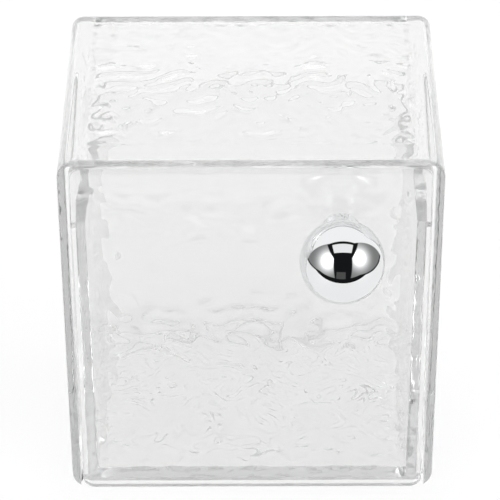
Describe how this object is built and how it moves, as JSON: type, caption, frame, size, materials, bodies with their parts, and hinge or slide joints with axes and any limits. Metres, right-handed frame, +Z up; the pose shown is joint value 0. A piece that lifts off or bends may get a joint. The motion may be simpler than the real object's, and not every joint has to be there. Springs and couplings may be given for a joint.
{
  "type": "cotton pad holder with drawer",
  "caption": "Clear moulded box with a full-height pull-out drawer and a chrome ball knob, for cotton pads on a vanity.",
  "frame": {"origin": "centre of the case's flat base, on the surface it stands on", "axes": "+Z up, front of the drawer toward -Y, +X to the right as seen from the front"},
  "size_m": [0.1, 0.0995, 0.1095],
  "materials": {
    "case": "clear, rippled outside faces, polished edges",
    "drawer": "clear, rippled front face, smooth tray",
    "knob": "mirror polished",
    "fastener": "bright zinc plate"
  },
  "bodies": {
    "case": {"case": "case"},
    "drawer": {"drawer": "drawer", "knob": "knob", "knob_screw": "fastener"}
  },
  "joints": [
    {"name": "drawer_slide", "type": "slide", "parent": "case", "child": "drawer", "axis": [0, -1, 0], "range_m": [0, 0.055]}
  ]
}
